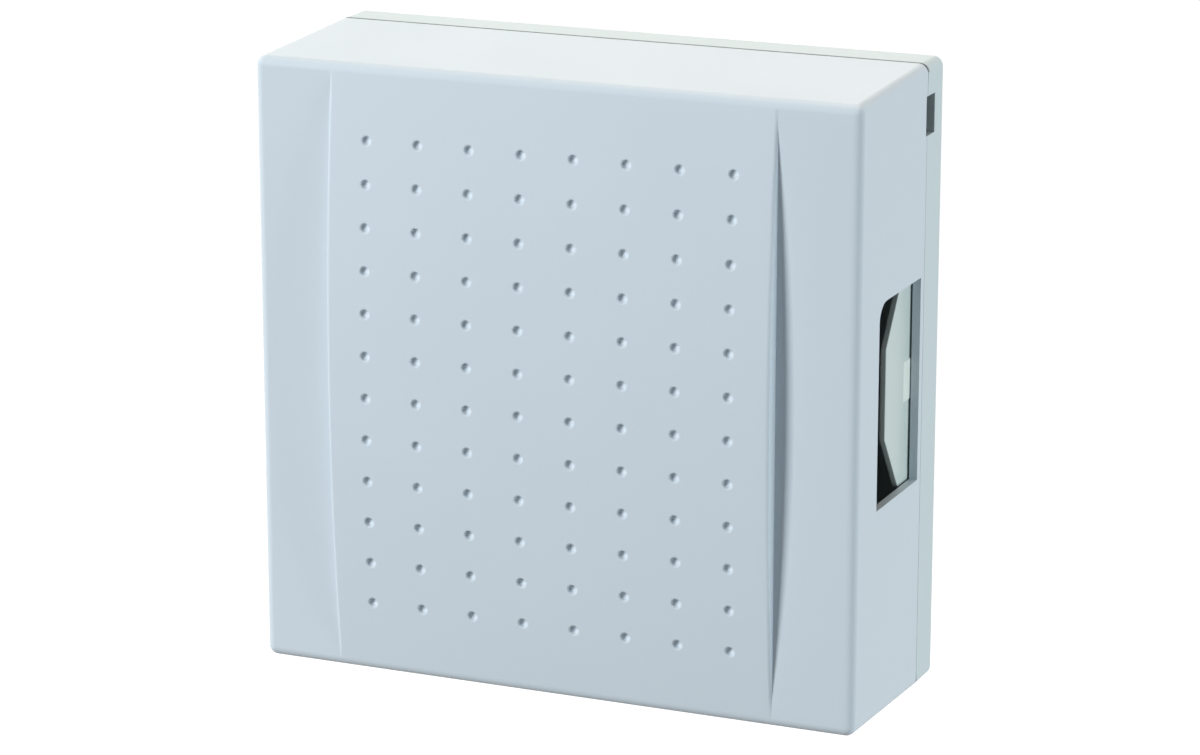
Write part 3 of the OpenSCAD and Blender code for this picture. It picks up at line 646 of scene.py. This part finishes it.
# %% Round the edges of a copy
def soften(node, name, radius_mm, steps=2, sharp_deg=32, cuts=(), fit=lambda at: at):
    """A copy of a CAD node with its sharp edges rounded.

    Before that, cuts adds points at these heights, and fit may move points.
    """
    solid = nodes[node]
    bm = bmesh.new()
    bm.from_mesh(solid.data)
    bmesh.ops.remove_doubles(bm, verts=bm.verts, dist=1e-6)
    bmesh.ops.dissolve_limit(bm, angle_limit=math.radians(0.5), verts=bm.verts, edges=bm.edges)
    for z in cuts:
        bmesh.ops.bisect_plane(bm, geom=bm.verts[:] + bm.edges[:] + bm.faces[:], dist=1e-7,
                               plane_co=(0, 0, z * MM), plane_no=(0, 0, 1))
    for v in bm.verts:
        v.co = fit(v.co)
    sharp = [e for e in bm.edges if e.is_manifold and e.calc_face_angle() > math.radians(sharp_deg)]
    bmesh.ops.bevel(bm, geom=sharp, offset=radius_mm * MM, offset_type="OFFSET", segments=steps, profile=0.5,
                    affect="EDGES", material=-1, loop_slide=True)
    piece = place(bm, name, solid["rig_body"], node_slot[node], node)
    print(f"  {name}: {len(sharp)} edges rounded to {radius_mm} mm, {len(piece.data.polygons)} faces")


# %% [markdown]
# ### The tray's seam
# The tray's rim stops 0.6 mm short of the cover. On top the photograph shows
# that gap as a line. At the sides it shows none: there the parts sit close. So
# the rim's outer edge is brought near the cover at the sides, and opens to the
# full gap round the corners. Two cuts near the corners keep the edge straight.

# %% Fit the tray
SIDE_SEAM = 0.03
NEAR_CORNER = CASE_H / 2 - 2 * EDGE_R


def near_cover(at):
    """Brings the tray's outer rim close to the cover at the sides, and less so round the corners."""
    x, z = abs(at.x / MM), abs(at.z / MM)
    outside = x > CASE_W / 2 - SLACK or (x > CASE_W / 2 - EDGE_R and z > CASE_H / 2 - EDGE_R)
    if abs(at.y / MM + RIM_D) < 0.01 and outside:
        rise = min(1, (CASE_H / 2 - z) / EDGE_R)
        at.y -= rise * (COVER_D - RIM_D - SIDE_SEAM) * MM
    return at


soften("base", "wall_tray", 0.1, cuts=(-NEAR_CORNER, NEAR_CORNER), fit=near_cover)

# %% [markdown]
# ### The other pieces
# Each radius is what the piece's making leaves. Most moulded pieces get 0.15 to
# 0.2 mm. The striker tips are turned rounder, so that they don't dent the bars,
# and the bars are tumbled. Screws, washers and pins keep nearly sharp edges.

# %% Other moulded pieces
soften("release_tongue_left", "tongue_plate_left", 0.15)
soften("release_tongue_right", "tongue_plate_right", 0.15)
soften("coil_bobbin", "bobbin", 0.2)
soften("terminal_block", "block", 0.2)
soften("striker_tip_left", "tip_left", 0.5, steps=4)
soften("striker_tip_right", "tip_right", 0.5, steps=4)
soften("bar_grommets", "grommet_set", 0.2)

# %% Metal pieces
soften("tone_bar_low", "low_bar", 0.35, steps=3)
soften("tone_bar_high", "high_bar", 0.35, steps=3)
soften("solenoid_yoke", "yoke", 0.15)
soften("solenoid_strap", "yoke_strap", 0.15)
soften("plunger_core", "core", 0.4, steps=3)
soften("spring_clip", "clip_ring", 0.12)
soften("solder_pins", "pin_set", 0.1)
soften("terminal_clamps", "clamp_set", 0.15)
soften("bar_washers", "washer_set", 0.08)
for fixed in ("bar", "yoke", "block"):
    soften(f"{fixed}_screws", f"{fixed}_screw_set", 0.1)
for number in (1, 2, 3):
    soften(f"terminal_screw_{number}", f"clamp_screw_{number}", 0.1)

# %% [markdown]
# ## Winding and tape
# The coil is a few hundred turns of enamelled wire. From outside it reads as
# close rings, so a rippled profile is spun once round the bobbin's axis. The
# ripple is one wire wide: 0.4 mm.

# %% Wind the coil
COIL_D = 22.2
TUBE_R, WIND_R, WIND_X = 6.0, 10.5, 17.3
WIRE_W, RIPPLE = 0.4, 0.1
POINTS_PER_WIRE = 4


def path_of(bm, places):
    """A chain of edges, drawn by extruding one vertex from place to place."""
    tip = bm.verts.new(places[0])
    for spot in places[1:]:
        tip = bmesh.ops.extrude_vert_indiv(bm, verts=[tip])["verts"][0]
        tip.co = spot
    return bm


turns = int(2 * WIND_X / WIRE_W)
step = 2 * WIND_X / turns / POINTS_PER_WIRE
phase = 2 * math.pi / POINTS_PER_WIRE
ripple = [(-WIND_X + (k + 0.5) * step, WIND_R - RIPPLE * (1 + math.cos((k + 0.5) * phase)))
          for k in range(POINTS_PER_WIRE * turns)]
profile = [(-WIND_X, TUBE_R), *ripple, (WIND_X, TUBE_R)]
bm = path_of(bmesh.new(), [(x, -COIL_D, r) for x, r in profile])
bmesh.ops.spin(bm, geom=[*bm.verts, *bm.edges], cent=(0, -COIL_D, 0), axis=(1, 0, 0), angle=2 * math.pi,
               steps=48, use_merge=True)
bmesh.ops.remove_doubles(bm, verts=bm.verts, dist=1e-3)
bmesh.ops.bridge_loops(bm, edges=[e for e in bm.edges if e.is_boundary])
bmesh.ops.recalc_face_normals(bm, faces=bm.faces)
print("winding:", turns, "rings,", len(bm.faces), "faces,", holes(bm), "open edges")
place(bm, "winding", "base", "copper_wire", "coil_winding", scale=MM, smooth=80)
soften("coil_tape", "tape_wrap", 0.06)

# %% [markdown]
# ## Return spring
# A compression spring has close turns at its ends and open ones between. A small
# circle is spun round the striker's axis while it moves along it: one close
# turn, five open ones, one close turn. One end stays with the yoke and the
# other follows the plunger, but the piece rides on no body.

# %% Coil the spring
SPRING_R, SPRING_WIRE_R, WIRE_SIDES = 5.04, 0.3, 10
SPRING_X = (-35.25, -21.05)
CLOSE_STEP, OPEN_TURNS = 0.66, 5
STEPS_PER_TURN = 24
bm = bmesh.new()
ring = bmesh.ops.create_circle(bm, cap_ends=False, radius=SPRING_WIRE_R, segments=WIRE_SIDES)["verts"]
bmesh.ops.translate(bm, vec=(SPRING_X[0], -COIL_D + SPRING_R, 0), verts=ring)
open_step = (SPRING_X[1] - SPRING_X[0] - 2 * CLOSE_STEP) / OPEN_TURNS
last = [*bm.verts, *bm.edges]
for count, pitch in ((1, CLOSE_STEP), (OPEN_TURNS, open_step), (1, CLOSE_STEP)):
    reached = sum(v.co.x for v in points(last)) / WIRE_SIDES
    last = bmesh.ops.spin(bm, geom=last, cent=(reached, -COIL_D, 0), axis=(1, 0, 0),
                          dvec=(pitch / STEPS_PER_TURN, 0, 0), angle=2 * math.pi * count,
                          steps=STEPS_PER_TURN * count)["geom_last"]
bmesh.ops.remove_doubles(bm, verts=bm.verts, dist=1e-4)
bmesh.ops.holes_fill(bm, edges=[e for e in bm.edges if e.is_boundary], sides=0)
bmesh.ops.recalc_face_normals(bm, faces=bm.faces)
print("spring:", len(bm.faces), "faces,", holes(bm), "open edges")
spring = place(bm, "spring", None, "spring_steel", "return_spring", scale=MM, smooth=50)
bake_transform(spring)

# %% [markdown]
# ## Coil leads
# Two short wires go from the coil's pins to the terminals, in the bends that the
# solids have. A Bezier curve with a round section is all that a wire is.

# %% Lay the leads
LEAD_R = 0.7
# Each end is a place and the handle that the wire sets out towards: x, depth and z in mm.
FROM_PIN = ((18.1, 22.2, -15.5), (18.1, 22.2, -32.0))
INTO_CLAMP = ((11.0, 8.5, -40.0), (11.0, 8.5, -23.5))
leads = bpy.data.curves.new("coil_wires", "CURVE")
leads.dimensions = "3D"
leads.bevel_depth = LEAD_R * MM
leads.bevel_resolution = 4
leads.resolution_u = 24
leads.use_fill_caps = True
for side in (-1, 1):
    spline = leads.splines.new("BEZIER")
    spline.bezier_points.add(1)
    for point, end in zip(spline.bezier_points, (FROM_PIN, INTO_CLAMP)):
        at, towards = (Vector((side * x, -d, z)) * MM for x, d, z in end)
        point.co = at
        point.handle_left_type = point.handle_right_type = "FREE"
        point.handle_left = point.handle_right = towards
leads.materials.append(finish["lead_insulation"])
wires = bpy.data.objects.new("coil_wires", leads)
bpy.context.scene.collection.objects.link(wires)
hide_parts("coil_leads")
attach(wires, "base")
print("leads:", len(leads.splines))

# %% [markdown]
# ## Ground and surroundings
# The photograph has a white ground. A bright world would flood the object, so
# only rays that come straight from the eye, or by way of gloss or glass, see
# white. All others see a faint fill. The floor's paint is a mid grey to the
# light, so that it throws little back and the shadow stays deep.

# %% World
def seen_directly(tree):
    """1 for rays from the camera, from gloss and through glass, else 0."""
    path = add(tree, "ShaderNodeLightPath").outputs
    eye = add(tree, "ShaderNodeMath", links={0: path["Is Camera Ray"], 1: path["Is Glossy Ray"]},
              operation="MAXIMUM")
    return add(tree, "ShaderNodeMath", links={0: eye.outputs[0], 1: path["Is Transmission Ray"]},
               operation="MAXIMUM").outputs[0]


FILL = 0.10
world = bpy.data.worlds.new("studio")
world.use_nodes = True
sky = world.node_tree
sky.nodes.clear()
fill = add(sky, "ShaderNodeBackground", {"Color": srgb("#f2f6fa"), "Strength": FILL})
white = add(sky, "ShaderNodeBackground", {"Color": srgb("#ffffff"), "Strength": 1.0})
both = add(sky, "ShaderNodeMixShader", links={0: seen_directly(sky), 1: fill.outputs[0], 2: white.outputs[0]})
add(sky, "ShaderNodeOutputWorld", links={"Surface": both.outputs[0]})
bpy.context.scene.world = world
print("fill light:", FILL)

# %% Floor
FLOOR_Z, FLOOR_HALF = -0.5, 6
bm = bmesh.new()
bmesh.ops.create_grid(bm, x_segments=1, y_segments=1, size=FLOOR_HALF)
bmesh.ops.translate(bm, vec=(0, 0, FLOOR_Z), verts=bm.verts)
mesh = bpy.data.meshes.new("floor")
bm.to_mesh(mesh)
bm.free()
paint = bpy.data.materials.new("matt floor paint")
paint.use_nodes = True
tree = paint.node_tree
tree.nodes.clear()
# The paint glows more away from the object, as a lit cove does, so the ground behind it is white.
away = add(tree, "ShaderNodeVectorMath", links={0: add(tree, "ShaderNodeTexCoord").outputs["Object"]},
           operation="LENGTH")
glow = add(tree, "ShaderNodeMapRange", {"From Min": 0.5, "From Max": 1.1, "To Min": 0.6, "To Max": 1.0},
           {"Value": away.outputs["Value"]})
shown = add(tree, "ShaderNodeMath", links={0: glow.outputs["Result"], 1: seen_directly(tree)},
            operation="MULTIPLY")
lift = add(tree, "ShaderNodeEmission", {"Color": srgb("#ffffff")}, {"Strength": shown.outputs[0]})
matt = add(tree, "ShaderNodeBsdfDiffuse", {"Color": srgb("#7c7c7c")})
joined = add(tree, "ShaderNodeAddShader", links={0: matt.outputs[0], 1: lift.outputs[0]})
add(tree, "ShaderNodeOutputMaterial", links={"Surface": joined.outputs[0]})
mesh.materials.append(paint)
floor = bpy.data.objects.new("floor", mesh)
bpy.context.scene.collection.objects.link(floor)
floor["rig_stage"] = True
print("floor:", round(-1000 * FLOOR_Z), "mm below the object's middle")

# %% [markdown]
# ## Lamps
# The photograph is lit by a soft lamp from the left in front and a little above,
# which draws the shadow beside the panel. A broad, slightly warm lamp hangs
# above, and a cooler one stands on the right. A wide, weak one behind is mirrored
# in the top face, which is seen at a flat angle and so looks paler.
#
# So pale a plastic burns out to white where it mirrors a strong lamp, and a steel
# bar does too. Gloss therefore leaves the right lamp out, and the key lamp in
# front is two lamps at one place, of which gloss sees the weak one only.

# %% Set the lamps
def lamp(name, at, size, watts, colour, aim=(0, -0.04, 0), in_gloss=True):
    """A square soft lamp at a place, turned towards a point."""
    light = bpy.data.lights.new(name, "AREA")
    light.size = size
    light.energy = watts
    light.color = srgb(colour)[:3]
    holder = bpy.data.objects.new(name, light)
    holder.location = at
    holder.visible_glossy = in_gloss
    holder.rotation_euler = (Vector(aim) - Vector(at)).to_track_quat("-Z", "Y").to_euler()
    bpy.context.scene.collection.objects.link(holder)
    return holder


KEY_AT, KEY_SIZE = (-1.140, -1.273, 0.656), 0.54
lamps = [
    lamp("key lamp", KEY_AT, KEY_SIZE, 33.6, "#ffffff", in_gloss=False),
    lamp("key sheen lamp", KEY_AT, KEY_SIZE, 6.0, "#ffffff"),
    lamp("top lamp", (0.05, 0.3, 1.0), 0.9, 6.5, "#fff2e5"),
    lamp("right lamp", (1.242, -0.11, 0.0), 0.5, 11.3, "#f7fdff", in_gloss=False),
    lamp("back lamp", (-0.5, 1.25, 0.32), 1.2, 5.3, "#fcfbee"),
]
print("lamps:", [one.name for one in lamps])

# %% [markdown]
# ## Camera
# Place and lens were worked out from the photograph's own edges: its corners and
# dimples, set against the sizes above, leave one camera that sees them so.

# %% Set the camera
IMAGE_W, FOCAL_PX = 1200, 4241.3
CAMERA_AT = (0.33185, -0.79061, 0.22451)
TURN, DIP = math.radians(23.35), math.radians(15.19)
view = bpy.data.cameras.new("camera")
view.lens = FOCAL_PX * view.sensor_width / IMAGE_W
view.clip_start = 0.01
view.clip_end = 50
camera = bpy.data.objects.new("camera", view)
camera.location = CAMERA_AT
forward = Vector((-math.sin(TURN) * math.cos(DIP), math.cos(TURN) * math.cos(DIP), -math.sin(DIP)))
camera.rotation_euler = forward.to_track_quat("-Z", "Y").to_euler()
bpy.context.scene.collection.objects.link(camera)
bpy.context.scene.camera = camera
bpy.context.scene.view_settings.view_transform = "Standard"
print("lens:", round(view.lens, 1), "mm")

# %% [markdown]
# ## Sizes before and after
# The dressed object has to keep the box of its solids. Both boxes are measured
# and kept, so that a piece that grew past its solid shows at once.

# %% Keep both boxes, and finish
visual_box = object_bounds()
grown = [[round(1000 * (v - c), 3) for v, c in zip(vs, cs)] for vs, cs in zip(visual_box, cad_box)]
print("grown by, mm:", grown)
